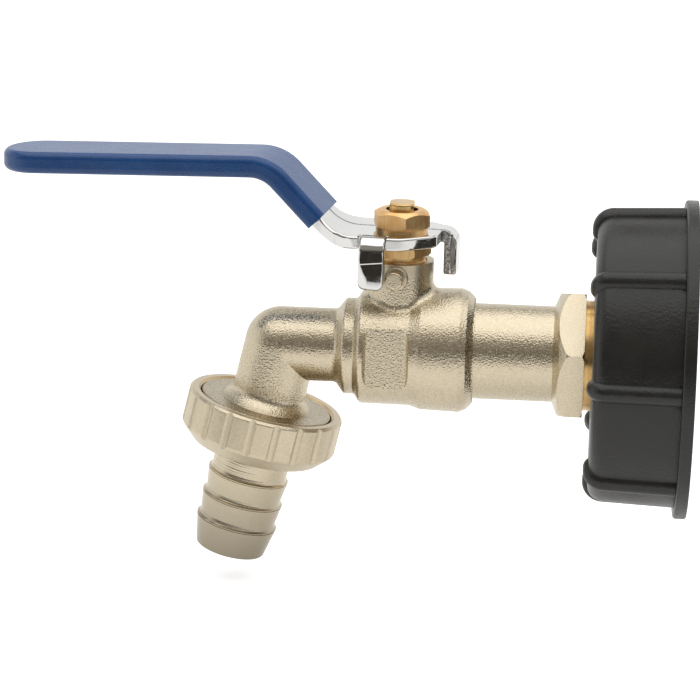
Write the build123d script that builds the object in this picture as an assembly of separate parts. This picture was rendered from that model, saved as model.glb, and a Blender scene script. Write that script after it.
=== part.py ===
from build123d import *
import math
import os

# Drain tap for an IBC tank: a swivelling screw cap for the tank's S60x6 outlet, a lever
# ball valve and a hose tail held by a union nut. Millimetres. The origin is the centre of the
# cap's open rim, +X points along the tap axis into the tank, +Z up.

# Clearances
running_gap = 0.08      # radial, shaft in its hole
thread_gap = 0.10       # radial, between plain stand-ins of a screwed pair
loose_gap = 0.30        # radial, round the turning union pieces
face_gap = 0.05         # axial, between flat faces that turn on each other
stop_gap = 0.15         # lever tab to stop boss
cut_over = 10.0         # how far a cutting tool reaches past the metal it cuts

# Tank cap
tank_thread_radius = 30.2
thread_length = 16.2
thread_relief = 0.8
cap_depth = 24.6
cap_wall = 6.5
cap_draft = 0.8
cap_corner = 4.0
cap_front_wall = 3.4
flange_rise = 2.9
flange_thickness = 3.2
rib_count = 8
rib_radius = 2.5
rib_rise = 1.7
rib_front_rise = 1.3
rib_bend = 2.7
rib_front_run = 7.7

# Swivel bush, tank gasket and sealing washer
inlet_thread_radius = 10.48
bush_wall = 3.12
bush_collar_inset = 2.8
bush_collar_thickness = 2.2
bush_hub_length = 1.9
gasket_width = 8.6
gasket_thickness = 2.5
washer_width = 3.17
washer_thickness = 2.0

# Inlet connector
hex_across = 30.4
hex_length = 7.7
hex_turn = -13.0
neck_radius = 11.95
neck_length = 19.5
inlet_bore = 7.5
body_thread_radius = 13.2
seat_to_connector = 0.1

# Valve body
inlet_end_length = 19.2
inlet_end_radius = 15.5
chamber_radius = 14.2
chamber_left = 9.0
chamber_right = 4.2
chamber_flat = 12.1
flat_margin = 0.9
flat_round = 2.0
collar_radius = 12.05
collar_left = 13.2
spout_radius = 9.2
spout_length = 29.3
outlet_tilt = 12.8
waterway_radius = 7.0
bonnet_radius = 8.3
bonnet_top = 22.8
bonnet_fillet = 2.2
boss_radius = 2.2
boss_end = 11.6
boss_height = 19.5
boss_turn = 5.0
boss_pad_radius = 3.1
boss_pad_end = 9.1

# Ball, seats and stem
ball_radius = 10.5
ball_bore = 6.5
ball_gap = 0.4
seat_length = 3.2
slot_width = 4.1
slot_floor = 8.0
stem_radius = 4.95
stem_collar_radius = 6.2
stem_collar_bottom = 10.7
stem_collar_length = 1.5
thrust_washer_thickness = 0.8
packing_bottom = 16.0
packing_ring_height = 1.5
packing_ring_count = 2
packing_radius = 6.6
gland_neck_radius = 6.0
gland_neck_top = 24.1
gland_hex_across = 13.0
gland_hex_height = 2.6
stem_thread_radius = 3.95
stem_flats = 6.0
stem_tip = 1.8
stem_nut_across = 13.0
stem_nut_height = 5.2
stem_nut_face_radius = 6.45
stem_nut_face_height = 0.8
stem_nut_turn = -19.4

# Lever
lever_yaw = -6.5
lever_thickness = 3.2
lever_bottom = 27.0
hub_half_width = 11.9
strip_half_width = 8.4
lower_corner = 16.0
upper_corner = 32.75
grip_corner_height = 45.4
tip_reach = 100.8
tip_height = 42.6
tip_corner = 6.0
lower_bend = 12.1
upper_bend = 10.3
tab_thickness = 2.9
tab_width = 6.5
strip_round = 0.6
tab_bend = 3.6
tab_round = 1.8
tab_edge_round = 0.8
front_tab_lean = 4.0
notch_margin = 0.4
front_tab_face = 12.6
front_tab_bottom = 17.1
side_tab_face = 13.3
side_tab_bottom = 18.8
grip_wall = 1.15
grip_start = 5.6
grip_round = 1.7

# Outlet, union nut and hose tail
outlet_shoulder = 15.9
outlet_thread_radius = 16.6
outlet_thread_length = 6.2
leg_flare = 2.4
outlet_gasket_thickness = 1.9
tail_collar_inset = 1.5
tail_collar_thickness = 2.3
tail_bore = 7.4
tail_neck_radius = 9.6
tail_neck_length = 7.6
barb_radius = 10.3
barb_count = 3
barb_pitch = 6.35
barb_ramp = 1.2
barb_lip = 0.3
barb_flare = 0.15
barb_round = 0.25
barb_groove = 0.3
barb_groove_depth = 0.25
tail_tip_radius = 8.7
tail_tip_length = 7.8
nut_radius = 19.7
nut_wall_bottom = 2.1
nut_chamfer = 3.6
nut_lobe_count = 20
nut_flute_radius = 1.3
nut_flute_depth = 0.5
nut_flute_turn = 3.5

# Sizes and places that follow
cap_wall_radius = tank_thread_radius + cap_wall
bush_radius = inlet_thread_radius + thread_gap + bush_wall
bush_collar_radius = tank_thread_radius - bush_collar_inset
gasket_outer = tank_thread_radius - loose_gap
gasket_inner = gasket_outer - gasket_width
bush_hub_radius = gasket_inner - thread_gap
washer_radius = inlet_thread_radius + thread_gap + washer_width
cap_floor_x = -cap_depth + cap_front_wall
bush_front_x = -cap_depth - face_gap
collar_back_x = cap_floor_x + face_gap + bush_collar_thickness
bush_back_x = collar_back_x + bush_hub_length
hex_right_x = bush_front_x - washer_thickness
hex_left_x = hex_right_x - hex_length
body_end_x = hex_left_x - neck_length
stem_x = body_end_x - inlet_end_length
elbow_x = stem_x - spout_length
ball_chamber_radius = ball_radius + ball_gap
seat_outer_x = ball_radius + 0.1
body_thread_end_x = stem_x + seat_outer_x + seat_to_connector
stem_hole_radius = stem_radius + running_gap
lever_top = lever_bottom + lever_thickness
stem_nut_top = lever_top + stem_nut_height
stem_top = stem_nut_top + stem_tip
strip_middle = lever_bottom + lever_thickness / 2
tilt = math.radians(outlet_tilt)

# Working frames: local X is the axis that each group of pieces is turned about
tap_frame = Plane.XY
stem_frame = Plane(origin=(stem_x, 0, 0), x_dir=(0, 0, 1), z_dir=(0, -1, 0))
outlet_frame = Plane(
    origin=(elbow_x, 0, 0), x_dir=(-math.sin(tilt), 0, -math.cos(tilt)), z_dir=(0, 1, 0)
)
lever_frame = Pos(stem_x, 0, 0) * Rot(0, 0, lever_yaw)


def turned(*corners):
    """Solid turned about local X from corners (place on the axis, radius, optional round)."""
    points = [corner[:2] for corner in corners]
    rounds = [corner[2] if len(corner) > 2 else 0 for corner in corners]
    outline = FilletPolyline(*points, radius=rounds, close=True)
    return revolve(make_face(outline), Axis.X)


def rod(start, end, radius):
    """Plain round bar about local X."""
    return turned((start, 0), (start, radius), (end, radius), (end, 0))


def tube(start, end, inner, outer):
    """Plain ring about local X."""
    return turned((start, inner), (start, outer), (end, outer), (end, inner))


def hexagon_bar(start, end, across, turn):
    """Hexagonal bar about local X with a corner turned from local Y by turn degrees."""
    corner_radius = across / math.sqrt(3)
    section = Plane.YZ * Rot(0, 0, turn) * RegularPolygon(corner_radius, 6)
    return Pos(start, 0, 0) * extrude(section, end - start)


def tank_cap():
    """Screw cap of black plastic: ribbed skirt, flange, tank thread and hole for the bush."""
    front_radius = cap_wall_radius - cap_draft
    flange_radius = cap_wall_radius + flange_rise
    relief_radius = tank_thread_radius + thread_relief
    shell = turned(
        (-cap_depth, bush_radius + loose_gap),
        (-cap_depth, front_radius, cap_corner),
        (-flange_thickness, cap_wall_radius),
        (-flange_thickness, flange_radius, 0.8),
        (0, flange_radius, 0.4),
        (0, tank_thread_radius),
        (-thread_length, tank_thread_radius),
        (-thread_length, relief_radius),
        (cap_floor_x, relief_radius),
        (cap_floor_x, bush_radius + loose_gap),
    )
    rib_line_x = -cap_depth - rib_front_rise + rib_radius
    rib_line_radius = cap_wall_radius + rib_rise - rib_radius
    path = FilletPolyline(
        (-flange_thickness, rib_line_radius),
        (rib_line_x, rib_line_radius - cap_draft),
        (rib_line_x, cap_wall_radius - rib_front_run + rib_radius),
        radius=rib_bend,
    )
    section = Plane(origin=path @ 0, z_dir=path % 0) * Circle(rib_radius)
    rib = sweep(section, path=path) + Pos(path @ 1) * Sphere(rib_radius)
    rib -= rod(cap_floor_x, 0, (relief_radius + front_radius) / 2)
    for index in range(rib_count):
        shell += Rot(index * 360 / rib_count, 0, 0) * rib
    return shell


def swivel_bush():
    """Brass bush that the cap turns on; its collar carries the gasket inside the cap."""
    bore_radius = inlet_thread_radius + thread_gap
    return turned(
        (bush_front_x, bore_radius),
        (bush_front_x, bush_radius),
        (cap_floor_x + face_gap, bush_radius),
        (cap_floor_x + face_gap, bush_collar_radius, 0.3),
        (collar_back_x, bush_collar_radius, 0.3),
        (collar_back_x, bush_hub_radius),
        (bush_back_x, bush_hub_radius, 0.5),
        (bush_back_x, bore_radius),
    )


def tank_gasket():
    """Flat rubber ring on the bush's collar; the tank's outlet presses on it."""
    return tube(collar_back_x, collar_back_x + gasket_thickness, gasket_inner, gasket_outer)


def sealing_washer():
    """Soft brass ring between the connector's hexagon and the cap."""
    inner = inlet_thread_radius + thread_gap
    return tube(hex_right_x, bush_front_x, inner, washer_radius)


def inlet_connector():
    """Nickel-plated nipple: cap thread, hexagon, plain neck and body thread."""
    hex_corner = hex_across / math.sqrt(3)
    hexagon = hexagon_bar(hex_left_x, hex_right_x, hex_across, hex_turn)
    rounded = turned(
        (hex_left_x, 0),
        (hex_left_x, neck_radius + 0.1),
        (hex_left_x + 1.3, hex_across / 2, 2.0),
        (hex_left_x + 3.6, hex_corner, 2.0),
        (hex_right_x - 0.5, hex_corner),
        (hex_right_x, hex_corner - 0.7),
        (hex_right_x, 0),
    )
    outside = turned(
        (body_thread_end_x, 0),
        (body_thread_end_x, body_thread_radius, 0.8),
        (body_end_x - 1.0, body_thread_radius),
        (body_end_x - 1.0, neck_radius),
        (hex_left_x + 1, neck_radius),
        (hex_left_x + 1, inlet_thread_radius),
        (bush_back_x - 0.4, inlet_thread_radius, 0.8),
        (bush_back_x - 0.4, 0),
    )
    waterway = rod(body_thread_end_x - cut_over, bush_back_x + cut_over, inlet_bore)
    return outside + (hexagon & rounded) - waterway


def with_fillet(base, boss, radius):
    """Base and boss fused, with the line where they meet rounded out."""
    fused = base + boss
    known = [edge.center() for edge in base.edges() + boss.edges()]
    seam = [
        edge
        for edge in fused.edges()
        if all((edge.center() - place).length > 0.01 for place in known)
        and edge.geom_type in (GeomType.BSPLINE, GeomType.OTHER)
    ]
    return fillet(seam, radius)


def body_outside():
    """Outer form of the cast body before any hole is bored."""
    barrel = Pos(stem_x, 0, 0) * turned(
        (-spout_length, 0),
        (-spout_length, spout_radius),
        (-collar_left - 2.2, spout_radius, 1.6),
        (-collar_left, collar_radius, 0.9),
        (-collar_left + 2.6, collar_radius, 0.6),
        (-chamber_left - 0.2, chamber_radius, 1.2),
        (chamber_right - 1.0, chamber_radius + 0.1, 0.8),
        (chamber_right + 1.6, inlet_end_radius - 0.3, 1.0),
        (inlet_end_length - 3.6, inlet_end_radius),
        (inlet_end_length - 1.9, inlet_end_radius - 0.7, 0.8),
        (inlet_end_length - 0.5, neck_radius + 1.6, 1.6),
        (inlet_end_length, neck_radius + 0.2),
        (inlet_end_length, 0),
    )
    for side in (-1, 1):
        barrel -= flat_cutter(side)
    return with_fillet(barrel, stem_frame * rod(0, bonnet_top, bonnet_radius), bonnet_fillet)


def flat_cutter(side):
    """Block that planes a shallow flat with rounded ends on one side of the chamber."""
    length = chamber_left + chamber_right - 2 * flat_margin
    middle = stem_x + (chamber_right - chamber_left) / 2
    block = Box(length, cut_over, 4 * chamber_radius)
    block = fillet(block.edges().filter_by(Axis.Z), flat_round)
    return Pos(middle, side * (chamber_flat + cut_over / 2), 0) * block


def stop_boss():
    """Cast peg on the bonnet that the lever's tabs meet at each end of its turn."""
    peg = turned(
        (0, 0),
        (0, boss_pad_radius),
        (boss_pad_end, boss_pad_radius, 0.5),
        (boss_pad_end, boss_radius),
        (boss_end, boss_radius, 0.5),
        (boss_end, 0),
    )
    return Pos(stem_x, 0, boss_height) * Rot(0, 0, -90 - boss_turn) * peg


def outlet_leg():
    """Outlet leg below the elbow, with its shoulder and the thread for the union nut."""
    end = outlet_shoulder + outlet_thread_length
    leg = turned(
        (0, 0),
        (0, spout_radius),
        (outlet_shoulder - leg_flare, spout_radius, leg_flare),
        (outlet_shoulder, spout_radius + leg_flare),
        (outlet_shoulder, outlet_thread_radius, 0.4),
        (end, outlet_thread_radius, 0.6),
        (end, 0),
    )
    return outlet_frame * leg


def valve_body():
    """Cast and nickel-plated body with ball chamber, bonnet, spout and outlet."""
    casting = body_outside() + Pos(elbow_x, 0, 0) * Sphere(spout_radius)
    casting += outlet_leg() + stop_boss()
    thread_start = seat_outer_x + seat_to_connector / 2
    voids = Pos(stem_x, 0, 0) * (
        rod(-spout_length, 0, waterway_radius)
        + rod(-seat_outer_x, thread_start, ball_chamber_radius)
        + rod(thread_start, inlet_end_length + cut_over, body_thread_radius + thread_gap)
    )
    pocket_top = stem_collar_bottom + stem_collar_length + thrust_washer_thickness
    voids += stem_frame * (
        rod(slot_floor, pocket_top, stem_collar_radius + loose_gap)
        + rod(slot_floor, bonnet_top, stem_hole_radius)
        + rod(packing_bottom, bonnet_top + cut_over, packing_radius)
    )
    voids += Pos(elbow_x, 0, 0) * Sphere(waterway_radius)
    end = outlet_shoulder + outlet_thread_length
    voids += outlet_frame * rod(0, end + cut_over, waterway_radius)
    return casting - voids


def ball():
    """Chromed ball with its waterway and the slot that the stem drives."""
    solid = Sphere(ball_radius)
    solid -= rod(-ball_radius - cut_over, ball_radius + cut_over, ball_bore)
    slot = Pos(0, 0, slot_floor + ball_radius) * Box(slot_width, 3 * ball_radius, 2 * ball_radius)
    return Pos(stem_x, 0, 0) * (solid - slot)


def seat_ring(side):
    """White seat ring with a hollow face that fits the ball."""
    outer = ball_chamber_radius - face_gap
    inner = ball_bore + 0.1
    section = Pos(seat_outer_x - seat_length / 2, (inner + outer) / 2, 0) * Rectangle(
        seat_length, outer - inner
    )
    ring = revolve(section - Circle(ball_radius + face_gap), Axis.X)
    turn = 180 if side < 0 else 0
    return Pos(stem_x, 0, 0) * Rot(0, 0, turn) * ring


def stem():
    """Brass stem: tang in the ball's slot, collar, round shaft, flats and thread."""
    collar_top = stem_collar_bottom + stem_collar_length
    shaft = turned(
        (stem_collar_bottom, 0),
        (stem_collar_bottom, stem_collar_radius, 0.3),
        (collar_top, stem_collar_radius),
        (collar_top, stem_radius),
        (lever_bottom, stem_radius),
        (lever_bottom, stem_thread_radius),
        (stem_top, stem_thread_radius, 0.5),
        (stem_top, 0),
    )
    height = stem_top - lever_bottom
    for side in (-1, 1):
        flat = Box(height, 4 * stem_thread_radius, cut_over)
        middle = lever_bottom + height / 2
        shaft -= Pos(middle, 0, side * (stem_flats + cut_over) / 2) * flat
    tang_width = slot_width - 2 * face_gap
    tang_height = stem_collar_bottom - slot_floor - 0.2
    tang = Box(tang_height + 0.4, 2 * stem_radius - 1.6, tang_width)
    middle = stem_collar_bottom - tang_height / 2 + 0.2
    shaft += Pos(middle, 0, 0) * tang
    return Pos(stem_x, 0, 0) * Rot(0, -90, 0) * shaft


def stem_thrust_washer():
    """Slippery washer between the stem's collar and the body."""
    bottom = stem_collar_bottom + stem_collar_length + face_gap
    top = stem_collar_bottom + stem_collar_length + thrust_washer_thickness
    return stem_frame * tube(bottom, top, stem_hole_radius, stem_collar_radius)


def packing_ring(index):
    """Soft ring round the stem that the gland nut squeezes."""
    bottom = packing_bottom + index * packing_ring_height
    return stem_frame * tube(
        bottom, bottom + packing_ring_height, stem_hole_radius, packing_radius - thread_gap
    )


def gland_nut():
    """Brass nut screwed into the bonnet on top of the packing."""
    skirt_bottom = packing_bottom + packing_ring_count * packing_ring_height
    hex_top = gland_neck_top + gland_hex_height
    skirt = turned(
        (skirt_bottom, 0),
        (skirt_bottom, packing_radius - thread_gap, 0.3),
        (bonnet_top - 0.3, packing_radius - thread_gap, 0.4),
        (bonnet_top + 0.3, gland_neck_radius),
        (gland_neck_top + 0.2, gland_neck_radius),
        (gland_neck_top + 0.2, 0),
    )
    head = hexagon_bar(gland_neck_top, hex_top, gland_hex_across, 0)
    corner = gland_hex_across / math.sqrt(3)
    head &= turned(
        (gland_neck_top, 0),
        (gland_neck_top, corner - 0.5),
        (gland_neck_top + 0.4, corner),
        (hex_top - 0.4, corner),
        (hex_top, corner - 0.5),
        (hex_top, 0),
    )
    hole = rod(skirt_bottom - cut_over, hex_top + cut_over, stem_hole_radius)
    return stem_frame * (skirt + head - hole)


def strip_line():
    """Middle line of the lever's strip, from the side tab over the hub to the tip."""
    side = side_tab_face - tab_thickness / 2
    return FilletPolyline(
        (side, side_tab_bottom),
        (side, strip_middle),
        (-lower_corner, strip_middle),
        (-upper_corner, grip_corner_height),
        (-tip_reach, tip_height),
        radius=[tab_bend - lever_thickness / 2, lower_bend, upper_bend],
    )


def lever_outline():
    """Plan of the lever: round hub with the side tab, and a strip with its corners cut off."""
    tab_low = boss_radius + stop_gap + boss_middle_offset()
    tab_high = tab_low + tab_width
    hub = make_face(
        FilletPolyline(
            (side_tab_face + 1, tab_low),
            (side_tab_face + 1, tab_high),
            (9.8, tab_high),
            (6.0, hub_half_width),
            (-13.0, hub_half_width),
            (-19.0, strip_half_width),
            (-tip_reach + tip_corner, strip_half_width),
            (-tip_reach, strip_half_width - tip_corner),
            (-tip_reach, -strip_half_width + tip_corner),
            (-tip_reach + tip_corner, -strip_half_width),
            (-19.0, -strip_half_width),
            (-13.0, -hub_half_width),
            (1.5, -hub_half_width),
            (9.6, -5.0),
            (9.8, tab_low),
            radius=[0, 0, 1.5, 3.0, 6.0, 6.0, 0, 0, 0, 0, 6.0, 6.0, 8.0, 4.0, 0.6],
            close=True,
        )
    )
    return hub


def boss_middle_offset():
    """How far the boss's middle lies along the side tab once the lever is closed."""
    return boss_end * math.sin(math.radians(-lever_yaw - boss_turn))


def front_tab():
    """Tab bent down at the hub's front edge; it meets the stop boss when the tap is open."""
    edge = boss_middle_offset() - boss_radius - stop_gap
    side = front_tab_face - tab_thickness / 2
    lean = (strip_middle - front_tab_bottom) * math.tan(math.radians(front_tab_lean))
    line = FilletPolyline(
        (-side - lean, front_tab_bottom),
        (-side, strip_middle),
        (-6.0, strip_middle),
        radius=tab_bend - lever_thickness / 2,
    )
    section = Plane.YZ * trace(line, line_width=tab_thickness)
    tab = Pos(edge - tab_width, 0, 0) * extrude(section, tab_width)
    low_edges = tab.edges().sort_by(Axis.Z)[:4]
    low_corners = [edge for edge in low_edges if abs(edge.length - tab_thickness) < 0.01]
    tab = fillet(low_corners, tab_round)
    return fillet(tab.edges(), tab_edge_round)


def rounded_strip(strip):
    """Strip with its long edges rounded, and then the edges of its side tab."""
    hub_edges = [edge for edge in strip.edges() if -hub_half_width < edge.center().X < 1]
    strip = fillet(hub_edges, strip_round)
    bend_start = side_tab_face - tab_thickness + 0.1
    tab_edges = [edge for edge in strip.edges() if edge.center().X > bend_start]
    return fillet(tab_edges, strip_round)


def lever():
    """Chromed lever stamped from strip: hub, two stop tabs, cranked arm."""
    tab_clear = front_tab_face - tab_bend
    strip = trace(strip_line(), line_width=lever_thickness)
    side = extrude(Plane.XZ * strip, hub_half_width + cut_over, both=True)
    plan = extrude(lever_outline(), grip_corner_height + cut_over)
    edge = boss_middle_offset() - boss_radius - stop_gap
    notch_middle = edge - tab_width / 2
    notch = Box(tab_width + 2 * notch_margin, cut_over, cut_over)
    notch = Pos(notch_middle, -tab_clear - cut_over / 2, lever_bottom) * notch
    plate = rounded_strip(side & plan) - notch + front_tab()
    hole = Cylinder(stem_thread_radius + running_gap, cut_over)
    hole &= Box(stem_flats + 2 * running_gap, 4 * stem_thread_radius, cut_over)
    return lever_frame * plate - Pos(stem_x, 0, lever_bottom) * hole


def lever_grip():
    """Dipped plastic sleeve over the lever's arm, with a half-round end and soft edges."""
    half_width = strip_half_width + grip_wall
    run = tip_reach - upper_corner
    drop = grip_corner_height - tip_height
    slope = Vector(lower_corner - upper_corner, grip_corner_height - strip_middle).normalized()
    line = FilletPolyline(
        Vector(-lower_corner, strip_middle) + slope * grip_start,
        (-upper_corner, grip_corner_height),
        (-upper_corner - 1.2 * run, grip_corner_height - 1.2 * drop),
        radius=upper_bend,
    )
    section = Plane.XZ * trace(line, line_width=lever_thickness + 2 * grip_wall)
    bar = extrude(section, half_width, both=True)
    reach = tip_reach + grip_wall
    tip = half_width - reach
    plan = Pos(tip, 0, 0) * Circle(half_width) + Pos(tip / 2, 0, 0) * Rectangle(-tip, 2 * half_width)
    sleeve = bar & extrude(plan, grip_corner_height + cut_over)
    long_edges = [edge for edge in sleeve.edges() if edge.length > 5.5 and abs(edge.center().Y) > 1]
    sleeve = fillet(long_edges, grip_round)
    return lever_frame * sleeve - lever()


def stem_nut():
    """Brass nut with a round face below that clamps the lever on the stem."""
    corner = stem_nut_across / math.sqrt(3)
    face_top = lever_top + stem_nut_face_height
    head = hexagon_bar(lever_top, stem_nut_top, stem_nut_across, 0)
    head &= turned(
        (lever_top, 0),
        (lever_top, stem_nut_face_radius),
        (face_top, stem_nut_face_radius),
        (face_top + 0.6, corner),
        (stem_nut_top - 1.1, corner),
        (stem_nut_top, corner - 1.9),
        (stem_nut_top, 0),
    )
    hole_radius = stem_thread_radius + running_gap
    head -= rod(lever_top - cut_over, stem_nut_top + cut_over, hole_radius)
    return stem_frame * Rot(stem_nut_turn, 0, 0) * head


def outlet_gasket():
    """Flat rubber ring between the outlet's end and the hose tail."""
    start = outlet_shoulder + outlet_thread_length
    end = start + outlet_gasket_thickness
    return outlet_frame * tube(start, end, waterway_radius + 0.5, tail_collar_radius())


def tail_collar_radius():
    """Collar of the hose tail: it passes the thread inside the union nut."""
    return outlet_thread_radius - tail_collar_inset


def tail_collar_start():
    """Place of the hose tail's collar on the outlet axis."""
    gasket_end = outlet_shoulder + outlet_thread_length + outlet_gasket_thickness
    return gasket_end + face_gap


def hose_tail():
    """Turned hose tail with a collar and three barbs, each a hollow ramp, a lip and a groove."""
    start = tail_collar_start()
    collar_end = start + tail_collar_thickness
    corners = [
        (start, tail_bore),
        (start, tail_collar_radius(), 0.3),
        (collar_end, tail_collar_radius(), 0.3),
        (collar_end, tail_neck_radius, 0.5),
    ]
    place = collar_end + tail_neck_length
    for index in range(barb_count):
        groove = place + barb_ramp
        last = index == barb_count - 1
        corners += [
            (place, tail_neck_radius),
            (groove - barb_lip, tail_neck_radius + barb_flare, barb_round),
            (groove, barb_radius),
            (groove + 0.1, barb_radius - barb_groove_depth),
            (groove + barb_groove, barb_radius - barb_groove_depth),
            (groove + barb_groove + 0.1, barb_radius - 0.05),
        ]
        place += barb_pitch
        if last:
            end = groove + tail_tip_length
            corners += [(end, tail_tip_radius, 0.7), (end, tail_bore, 0.4)]
    return outlet_frame * turned(*corners)


def union_nut():
    """Round union nut with a fluted rim; it draws the hose tail against the outlet."""
    start = outlet_shoulder - 0.2
    ledge = tail_collar_start() + tail_collar_thickness + face_gap
    end = ledge + nut_wall_bottom
    hole = barb_radius + loose_gap
    shell = turned(
        (start, outlet_thread_radius + loose_gap + 0.6),
        (start, nut_radius - 0.6, 0.3),
        (start + 0.7, nut_radius, 0.4),
        (end - nut_chamfer, nut_radius, 1.2),
        (end, nut_radius - nut_chamfer, 1.2),
        (end, hole),
        (ledge, hole),
        (ledge, outlet_thread_radius + loose_gap),
        (start + 0.6, outlet_thread_radius + loose_gap),
    )
    flute_place = nut_radius + nut_flute_radius - nut_flute_depth
    flute = Pos(0, flute_place, 0) * rod(start - cut_over, end + cut_over, nut_flute_radius)
    for index in range(nut_lobe_count):
        shell -= Rot(nut_flute_turn + index * 360 / nut_lobe_count, 0, 0) * flute
    return outlet_frame * shell


pieces = {
    "tank_cap": tank_cap(),
    "swivel_bush": swivel_bush(),
    "tank_gasket": tank_gasket(),
    "sealing_washer": sealing_washer(),
    "inlet_connector": inlet_connector(),
    "valve_body": valve_body(),
    "ball": ball(),
    "seat_ring_outlet": seat_ring(-1),
    "seat_ring_inlet": seat_ring(1),
    "stem": stem(),
    "stem_thrust_washer": stem_thrust_washer(),
    "packing_ring_lower": packing_ring(0),
    "packing_ring_upper": packing_ring(1),
    "gland_nut": gland_nut(),
    "lever": lever(),
    "lever_grip": lever_grip(),
    "stem_nut": stem_nut(),
    "outlet_gasket": outlet_gasket(),
    "union_nut": union_nut(),
    "hose_tail": hose_tail(),
}

os.makedirs("parts", exist_ok=True)
for name, solid in pieces.items():
    export_step(solid, f"parts/{name}.step")
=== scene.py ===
import math

import bpy
import numpy as np
from mathutils import Matrix, Vector


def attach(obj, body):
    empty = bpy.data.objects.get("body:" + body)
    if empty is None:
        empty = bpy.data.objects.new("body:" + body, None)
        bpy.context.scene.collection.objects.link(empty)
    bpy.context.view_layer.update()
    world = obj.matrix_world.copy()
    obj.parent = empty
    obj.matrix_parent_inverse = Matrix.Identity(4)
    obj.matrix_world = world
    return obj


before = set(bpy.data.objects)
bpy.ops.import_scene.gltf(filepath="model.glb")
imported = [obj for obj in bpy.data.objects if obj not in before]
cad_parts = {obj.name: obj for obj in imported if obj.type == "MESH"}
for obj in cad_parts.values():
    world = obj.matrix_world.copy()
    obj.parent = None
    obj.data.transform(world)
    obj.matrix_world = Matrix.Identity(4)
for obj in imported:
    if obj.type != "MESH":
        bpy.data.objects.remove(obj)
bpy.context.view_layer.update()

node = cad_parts

# Viewpoint of the photograph. The camera stands 0.8 m off, a little above the tap and a
# few degrees towards the tank, and is rolled slightly.
stem_foot = Vector((-0.07305, 0.0, 0.0))
azimuth, elevation, roll = (math.radians(angle) for angle in (4.2, 14.3, 1.4))
distance, focal_pixels, picture = 0.8, 3200.0, 700.0
stem_foot_pixel = (398.3, 347.5)
forward = Vector((
    -math.sin(azimuth) * math.cos(elevation),
    math.cos(azimuth) * math.cos(elevation),
    -math.sin(elevation),
))
level_right = Vector((math.cos(azimuth), math.sin(azimuth), 0.0))
level_up = level_right.cross(forward)
right = level_right * math.cos(roll) + level_up * math.sin(roll)
up = level_up * math.cos(roll) - level_right * math.sin(roll)
off_right = (stem_foot_pixel[0] - picture / 2) / focal_pixels
off_up = (picture / 2 - stem_foot_pixel[1]) / focal_pixels
eye = stem_foot - (forward + right * off_right + up * off_up) * distance
camera_data = bpy.data.cameras.new("camera")
camera_data.sensor_width = 36.0
camera_data.lens = focal_pixels / picture * camera_data.sensor_width
camera_data.clip_start, camera_data.clip_end = 0.01, 20.0
camera = bpy.data.objects.new("camera", camera_data)
turn = Matrix((right, up, -forward)).transposed()
camera.matrix_world = Matrix.Translation(eye) @ turn.to_4x4()
bpy.context.scene.collection.objects.link(camera)
bpy.context.scene.camera = camera
bpy.context.scene.view_settings.view_transform = "Standard"

# Studio. One large softbox hangs over the tap. The table and the low wall behind it are
# white, and the room on the camera's side is dark, as the metal's reflections show.
softbox_width, softbox_depth, softbox_height, softbox_power = 1.7, 1.5, 0.95, 9.8
softbox_before_stem = 0.09
dark_low, dim_high, dim_from, dim_until = (0.035, 0.03, 0.025), (0.30, 0.28, 0.25), -0.02, 0.26
white_wall, room_above, wall_top, room_from = (0.96, 0.96, 0.95), (0.34, 0.33, 0.31), 0.42, 0.70
dark_until_y, white_from_y = -0.62, -0.12
softbox_data = bpy.data.lights.new("softbox", "AREA")
softbox_data.shape = "RECTANGLE"
softbox_data.size, softbox_data.size_y = softbox_width, softbox_depth
softbox_data.energy = softbox_power
softbox = bpy.data.objects.new("softbox", softbox_data)
softbox.location = (stem_foot.x, -softbox_before_stem, softbox_height)
bpy.context.scene.collection.objects.link(softbox)


def put(tree, kind, inputs=None, **settings):
    """New shader node; an input given as a socket is linked, any other is typed in."""
    made = tree.nodes.new("ShaderNode" + kind)
    for name, value in settings.items():
        setattr(made, name, value)
    for name, value in (inputs or {}).items():
        if isinstance(value, bpy.types.NodeSocket):
            tree.links.new(value, made.inputs[name])
        else:
            made.inputs[name].default_value = value
    return made


def axes(tree, vector):
    """The X, Y and Z of a vector."""
    return put(tree, "SeparateXYZ", {"Vector": vector}).outputs


def ramp(tree, value, start, stop, low=0.0, high=1.0, easing="LINEAR"):
    """Number that goes from low to high while the value goes from start to stop."""
    return put(tree, "MapRange", {
        "Value": value, "From Min": start, "From Max": stop, "To Min": low, "To Max": high,
    }, interpolation_type=easing).outputs["Result"]


def ease(tree, value, start, stop, low=0.0, high=1.0):
    """The same number with soft ends, where it starts and stops to change."""
    return ramp(tree, value, start, stop, low, high, "SMOOTHSTEP")


def blend(tree, share, first, second):
    """Colour that goes from the first to the second as the share goes from 0 to 1."""
    ends = [end if isinstance(end, bpy.types.NodeSocket) else (*end, 1.0) for end in (first, second)]
    return put(tree, "Mix", {
        "Factor": share, "A": ends[0], "B": ends[1],
    }, data_type="RGBA").outputs["Result"]


world = bpy.data.worlds.new("studio")
bpy.context.scene.world = world
world.use_nodes = True
sky = world.node_tree
sky.nodes.clear()
rays = put(sky, "LightPath")
towards = axes(sky, put(sky, "TexCoord").outputs["Generated"])
dark_side = blend(sky, ease(sky, towards["Z"], dim_from, dim_until), dark_low, dim_high)
white_side = blend(sky, ease(sky, towards["Z"], wall_top, room_from), white_wall, room_above)
room = blend(sky, ease(sky, towards["Y"], dark_until_y, white_from_y), dark_side, white_side)
seen = blend(sky, rays.outputs["Is Camera Ray"], room, (1.0, 1.0, 1.0))
glow = put(sky, "Background", {"Color": seen})
put(sky, "OutputWorld", {"Surface": glow.outputs["Background"]})

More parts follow.
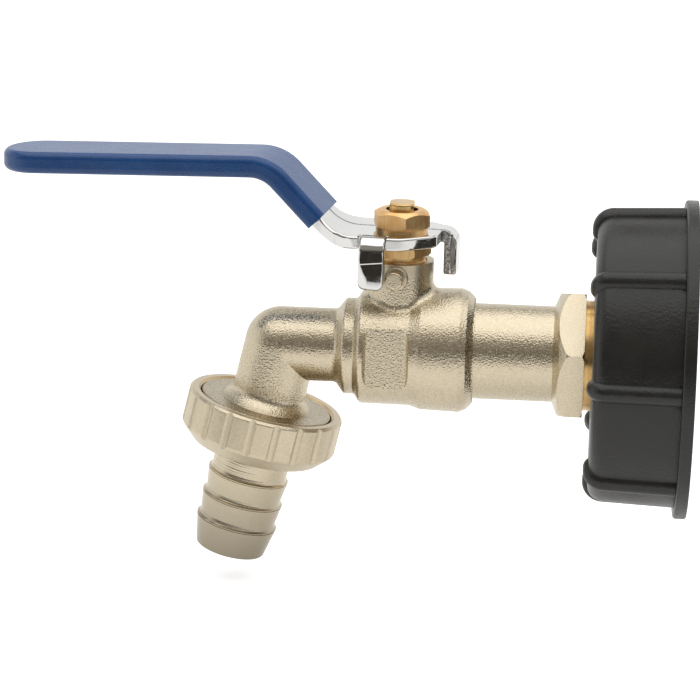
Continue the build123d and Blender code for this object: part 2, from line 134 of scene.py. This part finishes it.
# Table top: white board under the tap, which the camera sees evenly white. For reflected
# rays it also glows with painted light, which rises from 0.46 m to 0.18 m before the tap.
# Its front edge lies about 0.6 m before the tap, which is where the reflections turn from
# white to dark.
board_height, board_front, board_reach, board_white = -0.062, -0.58, 4.0, (0.80, 0.80, 0.80)
glow_from_y, glow_full_y, painted_glow_in_reflections, seen_glow = -0.46, -0.18, 0.34, 0.7
board = bpy.data.meshes.new("board")
board.from_pydata([
    (-board_reach, board_front, board_height),
    (board_reach, board_front, board_height),
    (board_reach, board_reach, board_height),
    (-board_reach, board_reach, board_height),
], [], [(0, 1, 2, 3)])
floor = bpy.data.objects.new("floor", board)
bpy.context.scene.collection.objects.link(floor)


def new_surface(name, colour, roughness, metallic=0.0):
    """Material with one Principled shader: the material, its tree, the shader, its coordinates."""
    material = bpy.data.materials.new(name)
    material.use_nodes = True
    tree = material.node_tree
    shader = tree.nodes["Principled BSDF"]
    shader.inputs["Base Color"].default_value = (*colour, 1.0)
    shader.inputs["Roughness"].default_value = roughness
    shader.inputs["Metallic"].default_value = metallic
    place = put(tree, "TexCoord")
    return material, tree, shader, place.outputs["Object"]


def calc(tree, operation, *values):
    """Result of one Math node."""
    return put(tree, "Math", dict(enumerate(values)), operation=operation).outputs[0]


white, tree, paint, place = new_surface("white_board", board_white, roughness=0.9)
paint.inputs["Specular IOR Level"].default_value = 0.0
rays = put(tree, "LightPath").outputs
# Painted light: the board glows for reflected rays only, rising from 0.46 m to 0.18 m before the tap.
near = ease(tree, axes(tree, place)["Y"], glow_from_y, glow_full_y, 0.0, painted_glow_in_reflections)
mirrored = calc(tree, "MULTIPLY", rays["Is Glossy Ray"], near)
direct = calc(tree, "MULTIPLY", rays["Is Camera Ray"], seen_glow)
glow = put(tree, "Emission", {"Strength": calc(tree, "ADD", mirrored, direct)})
board_shader = put(tree, "AddShader", {0: paint.outputs[0], 1: glow.outputs[0]})
tree.links.new(board_shader.outputs[0], tree.nodes["Material Output"].inputs["Surface"])
board.materials.append(white)

# Valve body. Hot-pressed brass, bead-blasted and nickel-plated, so that it is pale
# champagne with a fine sparkle. It carries ball chamber, bonnet, stop boss and outlet.
blast_dimple, blast_depth, body_gloss = 0.00042, 0.00006, (0.20, 0.31)
plate_colour, plate_dull, plate_bright = (0.66, 0.575, 0.42), (0.565, 0.49, 0.36), (0.70, 0.615, 0.46)
outlet_tilt, elbow_x = math.radians(12.8), -0.10235
# Painted shade: the plating turns darker from the outlet's shoulder down the leg.
shoulder_from, shoulder_to, shoulder_painted_shade = 0.0145, 0.0157, (0.47, 0.40, 0.285)
bonnet_from, bonnet_to = 0.0165, 0.0215
calm_share, bonnet_duller = 0.35, 0.1


def new_group(name, inputs, outputs):
    """Empty shader node group: its tree, its input sockets and its output node."""
    tree = bpy.data.node_groups.new(name, "ShaderNodeTree")
    for direction, sockets in (("INPUT", inputs), ("OUTPUT", outputs)):
        for socket_name, kind in sockets:
            socket_type = "NodeSocket" + kind
            tree.interface.new_socket(socket_name, in_out=direction, socket_type=socket_type)
    start = tree.nodes.new("NodeGroupInput")
    end = tree.nodes.new("NodeGroupOutput")
    return tree, start.outputs, end


def feed(tree, end, **sockets):
    """Links sockets to a node's inputs, which are named with _ for a space."""
    for name, socket in sockets.items():
        tree.links.new(socket, end.inputs[name.replace("_", " ")])


def use_group(tree, group, **inputs):
    """The group placed in a material."""
    made = put(tree, "Group", node_tree=group)
    for name, value in inputs.items():
        if isinstance(value, bpy.types.NodeSocket):
            tree.links.new(value, made.inputs[name])
        else:
            made.inputs[name].default_value = value
    return made.outputs


def noise(tree, vector, scale, detail, roughness=0.5):
    """Chance unevenness with the given count of bumps to a metre."""
    return put(tree, "TexNoise", {
        "Vector": vector, "Scale": scale, "Detail": detail, "Roughness": roughness,
    }).outputs["Fac"]


def bumps(tree, height, depth):
    """Normal of a skin whose relief is the height times the depth in metres."""
    return put(tree, "Bump", {"Height": height, "Distance": depth}).outputs["Normal"]


# Blasted skin: a dimple in every cell as wide as Size, each cell with its own brightness
# Grain, and slow unevenness Cloud over many of them.
blasted, start, end = new_group(
    "blasted", [("Vector", "Vector"), ("Size", "Float")],
    [("Height", "Float"), ("Cloud", "Float"), ("Grain", "Float")],
)
pitch = calc(blasted, "DIVIDE", 1.0, start["Size"])
dimples = put(blasted, "TexVoronoi", {"Vector": start["Vector"], "Scale": pitch})
fine = noise(blasted, start["Vector"], pitch, 1.0)
feed(
    blasted, end,
    Height=calc(blasted, "ADD", dimples.outputs["Distance"], fine),
    Cloud=noise(blasted, start["Vector"], calc(blasted, "MULTIPLY", pitch, 0.1), 2.0),
    Grain=put(blasted, "SeparateColor", {"Color": dimples.outputs["Color"]}).outputs["Red"],
)


def nickel_plate(name, dimple, depth, gloss):
    """Champagne nickel on a blasted ground; gloss is the pair of roughnesses it ranges over."""
    material, tree, shader, place = new_surface(name, plate_colour, gloss[0], 1.0)
    skin = use_group(tree, blasted, Vector=place, Size=dimple)
    tone = put(tree, "Mix", {"Factor": 0.3, "A": skin["Grain"], "B": skin["Cloud"]})
    feed(
        tree, shader,
        Base_Color=blend(tree, tone.outputs["Result"], plate_dull, plate_bright),
        Roughness=ramp(tree, skin["Grain"], 0.0, 1.0, *gloss),
        Normal=bumps(tree, skin["Height"], depth),
    )
    return material, tree, shader, place


def recolour(tree, shader, where, colour):
    """Brings the plating to another colour where the mask is 1."""
    plated = shader.inputs["Base Color"].links[0].from_socket
    feed(tree, shader, Base_Color=blend(tree, where, plated, colour))


def calm(tree, shader, where, duller):
    """Lowers the blasted relief to its calm share where the mask is 1, and dulls it there."""
    blast_bump = shader.inputs["Normal"].links[0].from_node
    blast_height = blast_bump.inputs["Height"].links[0].from_socket
    share = ramp(tree, where, 0.0, 1.0, 1.0, calm_share)
    blast_rough = shader.inputs["Roughness"].links[0].from_socket
    feed(tree, blast_bump, Height=calc(tree, "MULTIPLY", blast_height, share))
    feed(tree, shader, Roughness=calc(tree, "MULTIPLY_ADD", where, duller, blast_rough))


def from_elbow(tree, place):
    """Coordinates from the middle of the elbow, with X down the outlet leg."""
    return put(tree, "Mapping", {
        "Vector": place,
        "Location": (math.sin(outlet_tilt) * elbow_x, 0.0, -math.cos(outlet_tilt) * elbow_x),
        "Rotation": (0.0, -math.radians(90.0) - outlet_tilt, 0.0),
    }).outputs[0]


def wear(name, material):
    """Gives a CAD node its material."""
    mesh = node[name].data
    mesh.materials.clear()
    mesh.materials.append(material)


body_skin, tree, shader, place = nickel_plate("body_nickel", blast_dimple, blast_depth, body_gloss)
down_leg = axes(tree, from_elbow(tree, place))["X"]
# Painted shade: from 14.5 mm down the outlet leg on, the body is painted darker.
recolour(tree, shader, ease(tree, down_leg, shoulder_from, shoulder_to), shoulder_painted_shade)
calm(tree, shader, ramp(tree, axes(tree, place)["Z"], bonnet_from, bonnet_to), bonnet_duller)
wear("valve_body", body_skin)

# Ball and its two seat rings, inside the body. The ball is polished brass with hard
# chrome, the rings are white PTFE.
ball_colour, ptfe_colour = (0.75, 0.75, 0.74), (0.82, 0.82, 0.80)
ball_chrome, tree, shader, place = new_surface("ball_chrome", ball_colour, roughness=0.07, metallic=1.0)
haze = noise(tree, place, scale=900.0, detail=4.0)
feed(tree, shader, Roughness=ramp(tree, haze, 0.0, 1.0, low=0.04, high=0.14))
wear("ball", ball_chrome)
ptfe, tree, shader, place = new_surface("ptfe", ptfe_colour, roughness=0.45)
mottle = noise(tree, place, scale=1500.0, detail=3.0)
feed(
    tree, shader,
    Roughness=ramp(tree, mottle, 0.0, 1.0, low=0.36, high=0.56), Normal=bumps(tree, mottle, 0.00001),
)
wear("seat_ring_inlet", ptfe)
wear("seat_ring_outlet", ptfe)

# Inlet connector: brass nipple with hexagon, screwed into the body. Its neck is blasted
# as the body is, the hexagon is left nearly smooth, and the plating is the same.
connector_gloss, hexagon_duller = (0.19, 0.30), 0.03
neck_end, hexagon_start = -0.0355, -0.0335
connector_skin, tree, shader, place = nickel_plate(
    "connector_nickel", blast_dimple, blast_depth, connector_gloss
)
hexagon = ramp(tree, axes(tree, place)["X"], neck_end, hexagon_start)
calm(tree, shader, hexagon, hexagon_duller)
wear("inlet_connector", connector_skin)

# Sealing washer and swivel bush: turned from bare brass bar. The bush is screwed on the
# connector's end, and the washer sits between the cap and the hexagon.
brass_colour, brass_dark, brass_light = (0.68, 0.45, 0.18), (0.62, 0.365, 0.125), (0.74, 0.51, 0.23)
chatter_drift, band_share = 0.00002, 0.15

# Turned finish: fine rings of chance height along X, as wide as Pitch, and broader bands of
# gloss, Shade, along them.
turned, start, end = new_group(
    "turned", [("Vector", "Vector"), ("Pitch", "Float")], [("Height", "Float"), ("Shade", "Float")]
)
drift = calc(turned, "MULTIPLY", noise(turned, start["Vector"], scale=160.0, detail=1.0), chatter_drift)
line = calc(turned, "ADD", axes(turned, start["Vector"])["X"], drift)
count = calc(turned, "DIVIDE", line, start["Pitch"])
rings = put(turned, "TexNoise", {"W": count, "Scale": 1.0, "Detail": 2.0}, noise_dimensions="1D")
bands = put(turned, "TexNoise", {
    "W": count, "Scale": band_share, "Detail": 1.0,
}, noise_dimensions="1D")
feed(turned, end, Height=rings.outputs["Fac"], Shade=bands.outputs["Fac"])


def bare_brass(name, axis_turn, pitch, depth, gloss):
    """Bare turned brass; axis_turn is the rotation that brings the piece's axis to X."""
    material, tree, shader, place = new_surface(name, brass_colour, gloss[0], 1.0)
    aligned = put(tree, "Mapping", {"Vector": place, "Rotation": axis_turn})
    lathe = use_group(tree, turned, Vector=aligned.outputs[0], Pitch=pitch)
    stain = noise(tree, place, scale=220.0, detail=4.0, roughness=0.6)
    feed(
        tree, shader,
        Base_Color=blend(tree, ramp(tree, stain, 0.3, 0.7), brass_dark, brass_light),
        Roughness=ramp(tree, lathe["Shade"], 0.3, 0.7, *gloss),
        Normal=bumps(tree, lathe["Height"], depth),
    )
    return material


lying = (0.0, 0.0, 0.0)
brass_along_tap = bare_brass(
    "brass_along_tap", lying, pitch=0.00012, depth=0.000004, gloss=(0.2, 0.3)
)
wear("sealing_washer", brass_along_tap)
wear("swivel_bush", brass_along_tap)

# Tank gasket: flat black EPDM ring on the bush's collar, cut from sheet.
rubber_black, rubber_bloom = (0.014, 0.014, 0.014), (0.05, 0.05, 0.048)
rubber, tree, shader, place = new_surface("rubber", (0.018, 0.018, 0.018), roughness=0.62)
talc = noise(tree, place, scale=700.0, detail=5.0)
feed(
    tree, shader,
    Base_Color=blend(tree, ramp(tree, talc, 0.45, 0.8), rubber_black, rubber_bloom),
    Normal=bumps(tree, talc, 0.00003),
)
wear("tank_gasket", rubber)

# Tank cap: injection-moulded black polypropylene. Its outside has the fine grain of an
# eroded mould and a low gloss. The coarse thread inside is a ridge wound along the wall.
cap_dark, cap_light = (0.0125, 0.0125, 0.0115), (0.0165, 0.0165, 0.0150)
thread_root, thread_crest, thread_pitch, thread_turns = 0.0302, 0.0280, 0.006, 2.0
thread_start, thread_foot, thread_top, thread_steps = -0.0022, 0.0034, 0.0016, 200
cap_black, tree, shader, place = new_surface("cap_black", (0.0145, 0.0145, 0.0135), roughness=0.33)
shader.inputs["Specular IOR Level"].default_value = 0.5
grain = noise(tree, place, scale=1500.0, detail=2.0)
flow = noise(tree, place, scale=130.0, detail=3.0, roughness=0.55)
swell = calc(tree, "MULTIPLY", flow, 1.5)
feed(
    tree, shader,
    Base_Color=blend(tree, ramp(tree, flow, 0.35, 0.65), cap_dark, cap_light),
    Roughness=ramp(tree, flow, 0.3, 0.7, low=0.28, high=0.38),
    Normal=bumps(tree, calc(tree, "ADD", grain, swell), 0.00009),
)
wear("tank_cap", cap_black)


def surface_piece(name, points):
    """New closed piece from a grid of points, rows along the path and columns round the section."""
    rows, columns, _ = points.shape
    index = np.arange(rows * columns).reshape(rows, columns)
    beside = np.roll(index, -1, axis=1)
    quads = np.stack([index[:-1], beside[:-1], beside[1:], index[1:]], axis=-1).reshape(-1, 4)
    ends = [index[0, ::-1].tolist(), index[-1].tolist()]
    mesh = bpy.data.meshes.new(name)
    mesh.from_pydata(points.reshape(-1, 3).tolist(), [], quads.tolist() + ends)
    mesh.update()
    made = bpy.data.objects.new(name, mesh)
    bpy.context.scene.collection.objects.link(made)
    return made


def ridge_along_helix(wall, crest, pitch, first, turns, foot_width, top_width, steps):
    """Thread ridge about X. At angle t the section stands at X = first - pitch t / (2 pi),
    and is a trapezoid from just inside the wall to the crest, whose height falls to a third
    over the first and last eighth of a turn."""
    angle = np.linspace(0.0, 2 * math.pi * turns, steps)
    middle = first - pitch * angle / (2 * math.pi)
    run_out = math.pi / 4
    rise = np.clip(np.minimum(angle, angle[-1] - angle) / run_out, 0.0, 1.0) * 0.67 + 0.33
    sunk = wall + 0.0002
    top = wall - (wall - crest) * rise
    radius = np.stack([np.full(steps, sunk), top, top, np.full(steps, sunk)], axis=1)
    half = np.array([foot_width, top_width, -top_width, -foot_width]) / 2
    x = middle[:, None] + half[None, :]
    y = radius * np.cos(angle)[:, None]
    z = radius * np.sin(angle)[:, None]
    return np.stack([x, y, z], axis=-1)


tank_thread = surface_piece("cap_thread", ridge_along_helix(
    thread_root, thread_crest, thread_pitch, thread_start,
    thread_turns, thread_foot, thread_top, thread_steps,
))
tank_thread.data.materials.append(cap_black)
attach(tank_thread, "cap")

# Stem, thrust washer, packing rings and gland nut: the stem goes in from below, the white
# rings and the brass gland nut close the bonnet round it. The nuts are cut from drawn bar.
upright = (0.0, math.radians(90.0), 0.0)
drawn_dark, drawn_light = (0.74, 0.43, 0.17), (0.90, 0.62, 0.30)
brass_turned_upright = bare_brass(
    "brass_turned_upright", upright, pitch=0.00014, depth=0.000004, gloss=(0.18, 0.28)
)
wear("stem", brass_turned_upright)
drawn_brass, tree, shader, place = new_surface("drawn_brass", brass_colour, roughness=0.24, metallic=1.0)
stretched = put(tree, "Mapping", {"Vector": place, "Scale": (1.0, 1.0, 0.035)})
lines = noise(tree, stretched.outputs[0], scale=5200.0, detail=2.0, roughness=0.6)
stain = noise(tree, place, scale=260.0, detail=4.0, roughness=0.6)
mixed = put(tree, "Mix", {"Factor": 0.5, "A": stain, "B": lines})
tone = ramp(tree, mixed.outputs["Result"], 0.4, 0.6)
feed(
    tree, shader,
    Base_Color=blend(tree, tone, drawn_dark, drawn_light),
    Roughness=ramp(tree, lines, 0.3, 0.7, low=0.30, high=0.44),
    Normal=bumps(tree, lines, 0.000006),
)
wear("gland_nut", drawn_brass)
wear("stem_nut", drawn_brass)
for name in ("stem_thrust_washer", "packing_ring_lower", "packing_ring_upper"):
    wear(name, ptfe)

# Lever: steel strip, stamped, bent and bright chromed. The plating shows every slight wave
# of the strip, and the stem nut above, a brass hexagon, clamps it.
chrome_colour, chrome_relief, lever_turned = (0.72, 0.72, 0.71), 0.00016, math.radians(-6.5)
chrome, tree, shader, place = new_surface("lever_chrome", chrome_colour, roughness=0.06, metallic=1.0)
wave = noise(tree, place, scale=210.0, detail=1.0, roughness=0.4)
haze = noise(tree, place, scale=1800.0, detail=3.0)
polish = ramp(tree, haze, 0.3, 0.8, low=0.04, high=0.12)
in_lever = put(tree, "Mapping", {
    "Vector": place,
    "Location": (-math.cos(lever_turned) * stem_foot.x, math.sin(lever_turned) * stem_foot.x, 0.0),
    "Rotation": (0.0, 0.0, -lever_turned),
}).outputs[0]
along = axes(tree, in_lever)

# The side tab's sheared edge, in the lever's own frame: its inner half is torn and dull, and
# the outer half is drawn smooth and leans up, a little crowned.
cut_edge_y, cut_edge_round, torn_until_x, torn_border = 0.00265, 0.0006, 0.0119, 0.0001
torn_dark, torn_light, torn_duller = (0.16, 0.155, 0.15), (0.62, 0.61, 0.59), 0.4
crown_x, crown_z, crown_half_width, crown_half_height = 0.0126, 0.0245, 0.0007, 0.0052
crown_slope = 1200.0
on_cut = calc(tree, "COMPARE", along["Y"], cut_edge_y, cut_edge_round)
inward = ramp(tree, along["X"], torn_until_x + torn_border, torn_until_x - torn_border)
torn = calc(tree, "MULTIPLY", on_cut, inward)
grit = ramp(tree, noise(tree, place, scale=2600.0, detail=2.0), 0.38, 0.62)
offset = put(tree, "VectorMath", {0: in_lever, 1: (crown_x, 0.0, crown_z)}, operation="SUBTRACT")
scaled = put(tree, "VectorMath", {
    0: offset.outputs["Vector"], 1: (1 / crown_half_width, 0.0, 1 / crown_half_height),
}, operation="MULTIPLY")
from_crown = put(tree, "VectorMath", {0: scaled.outputs["Vector"]}, operation="LENGTH")
crown = calc(tree, "MULTIPLY", ease(tree, from_crown.outputs["Value"], 1.1, 0.8), on_cut)
lean = calc(tree, "MULTIPLY", calc(tree, "SUBTRACT", crown_z, along["Z"]), crown)
edge_relief = calc(tree, "MULTIPLY_ADD", lean, crown_slope, wave)

# The front tab's face rolls off to its lower and left edges, and a faint crease of the
# bending die crosses it, a little higher at one side.
face_from_y, face_full_y = -0.0105, -0.0120
rolled_x, rolled_z, rolled_over, rolled_slope, rolled_to_side = -0.0060, 0.0189, 0.0014, 0.12, 2.2
crease_from, crease_to, crease_depth, crease_slant = 0.02435, 0.02465, 0.00004, -0.12
front_face = ease(tree, along["Y"], face_from_y, face_full_y)
down = calc(tree, "SUBTRACT", rolled_z, along["Z"])
left = calc(tree, "MAXIMUM", calc(tree, "SUBTRACT", rolled_x, along["X"]), 0.0)
to_rim = calc(tree, "MULTIPLY_ADD", left, rolled_to_side, down)
rolled = calc(tree, "SMOOTH_MAX", to_rim, 0.0, rolled_over)
slanted = calc(tree, "MULTIPLY_ADD", along["X"], crease_slant, along["Z"])
crease = ease(tree, slanted, crease_from, crease_to, -crease_depth / chrome_relief, 0.0)
face_relief = calc(tree, "MULTIPLY_ADD", rolled, -rolled_slope / chrome_relief, crease)
relief = calc(tree, "MULTIPLY_ADD", face_relief, front_face, edge_relief)
feed(
    tree, shader,
    Base_Color=blend(tree, torn, chrome_colour, blend(tree, grit, torn_dark, torn_light)),
    Roughness=calc(tree, "MULTIPLY_ADD", torn, torn_duller, polish),
    Normal=bumps(tree, relief, chrome_relief),
)
wear("lever", chrome)

# Lever grip: soft blue PVC that the arm is dipped in, so that it is smooth, slightly
# uneven and rounded at every edge.
dip_dark, dip_light, dip_swell = (0.008, 0.060, 0.215), (0.012, 0.078, 0.262), 20.0
grip_blue, tree, shader, place = new_surface("grip_blue", (0.01, 0.068, 0.24), roughness=0.36)
ripple = noise(tree, place, scale=190.0, detail=2.0)
skin = noise(tree, place, scale=2400.0, detail=3.0)
swell = calc(tree, "MULTIPLY", ripple, dip_swell)
feed(
    tree, shader,
    Base_Color=blend(tree, ramp(tree, ripple, 0.3, 0.7), dip_dark, dip_light),
    Roughness=ramp(tree, skin, 0.3, 0.7, low=0.22, high=0.32),
    Normal=bumps(tree, calc(tree, "ADD", skin, swell), 0.000005),
)
wear("lever_grip", grip_blue)

# Outlet gasket and hose tail. The tail is turned from brass bar and plated, so that fine
# rings run round it, and towards its end it is painted darker as painted shade. The gasket
# seals it against the outlet.
tail_dimple, tail_depth, tail_gloss = 0.00018, 0.000004, (0.17, 0.24)
ring_pitch, ring_depth = 0.00045, 0.00006
end_from, end_to, end_painted_shade = 0.030, 0.056, (0.32, 0.28, 0.215)
wear("outlet_gasket", rubber)
tail_skin, tree, shader, place = nickel_plate("tail_nickel", tail_dimple, tail_depth, tail_gloss)
down_leg = from_elbow(tree, place)
lathe = use_group(tree, turned, Vector=down_leg, Pitch=ring_pitch)
blast_normal = shader.inputs["Normal"].links[0].from_socket
ring_bump = put(tree, "Bump", {
    "Height": lathe["Height"], "Distance": ring_depth, "Normal": blast_normal,
})
feed(tree, shader, Normal=ring_bump.outputs["Normal"])
# Painted shade: the tail darkens towards its end, from 30 mm to 56 mm down the outlet leg.
shade_to_end = ramp(tree, axes(tree, down_leg)["X"], end_from, end_to)
recolour(tree, shader, shade_to_end, end_painted_shade)
wear("hose_tail", tail_skin)

# Union nut: pressed brass with a fluted outside, blasted and plated, and turned bare again
# on the rim. It hooks over the tail's collar and screws on the outlet.
nut_dimple, nut_depth, nut_gloss = 0.00040, 0.000026, (0.28, 0.38)
rim_below, rim_x, bare_outside, bare_inside = 0.01625, 0.0160, 0.0176, 0.0173
bared_brass = (0.60, 0.43, 0.22)
nut_skin, tree, shader, place = nickel_plate("nut_nickel", nut_dimple, nut_depth, nut_gloss)
along = axes(tree, from_elbow(tree, place))
rim = ease(tree, along["X"], rim_below, rim_x)
across = put(tree, "CombineXYZ", {"Y": along["Y"], "Z": along["Z"]})
off_axis = put(tree, "VectorMath", {0: across.outputs[0]}, operation="LENGTH")
inner = ease(tree, off_axis.outputs["Value"], bare_outside, bare_inside)
recolour(tree, shader, calc(tree, "MULTIPLY", rim, inner), bared_brass)
wear("union_nut", nut_skin)
